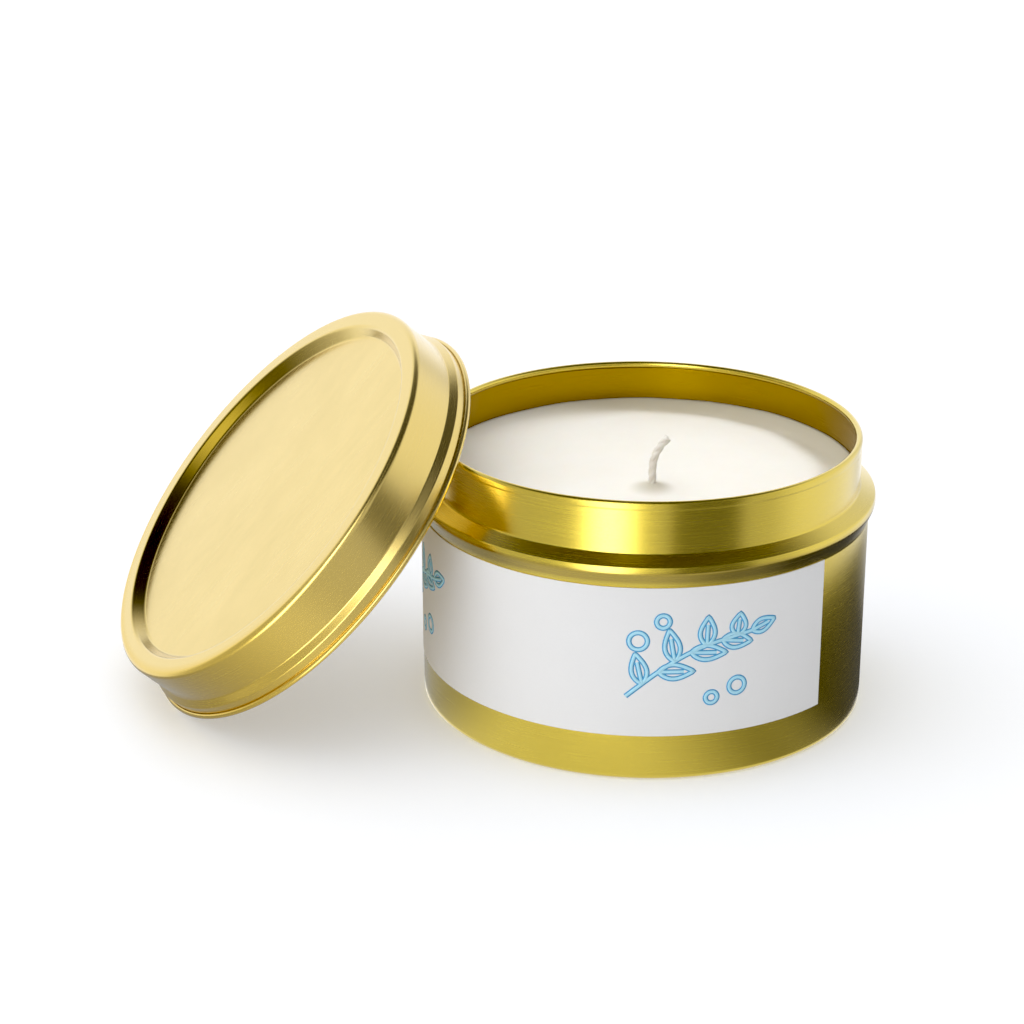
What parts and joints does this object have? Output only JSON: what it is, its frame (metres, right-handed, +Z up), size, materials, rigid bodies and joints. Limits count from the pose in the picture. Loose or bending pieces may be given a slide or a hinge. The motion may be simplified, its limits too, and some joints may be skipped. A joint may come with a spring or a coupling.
{
  "type": "candle tin",
  "caption": "Round seamless metal tin filled with wax round an upright wick, with a paper label and a slip-on lid that leans against its rim.",
  "frame": {"origin": "centre of the tin's flat base, on the surface that the tin stands on", "axes": "+Z up along the tin's centre line; -X towards the lid's foot, so that the lid leans towards +X and its centre line is parallel to the XZ plane; the label's printed front faces -Y"},
  "size_m": [0.1271, 0.1016, 0.0642],
  "materials": {
    "tin_lacquer": "tinplate with clear gold lacquer, fine brushed grain round the wall",
    "lid_lacquer": "tinplate with clear gold lacquer, fine straight grain on the panel",
    "label_paper": "uncoated white label paper",
    "label_ink": "light blue printed line",
    "candle_wax": "smooth cream soy wax, faintly translucent",
    "waxed_cotton": "braided cotton primed with wax",
    "clip_steel": "plain tinplate",
    "sticker_foam": "white adhesive foam"
  },
  "bodies": {
    "candle": {"tin_can": "tin_lacquer", "label": "label_paper", "wax": "candle_wax", "wick": "waxed_cotton", "wick_clip": "clip_steel", "wick_sticker": "sticker_foam"},
    "lid": {"lid": "lid_lacquer"}
  },
  "joints": [
    {"name": "lid_lift", "type": "slide", "parent": "candle", "child": "lid", "axis": [-0.7367, 0, 0.6762], "range_m": [0, 0.06]}
  ]
}
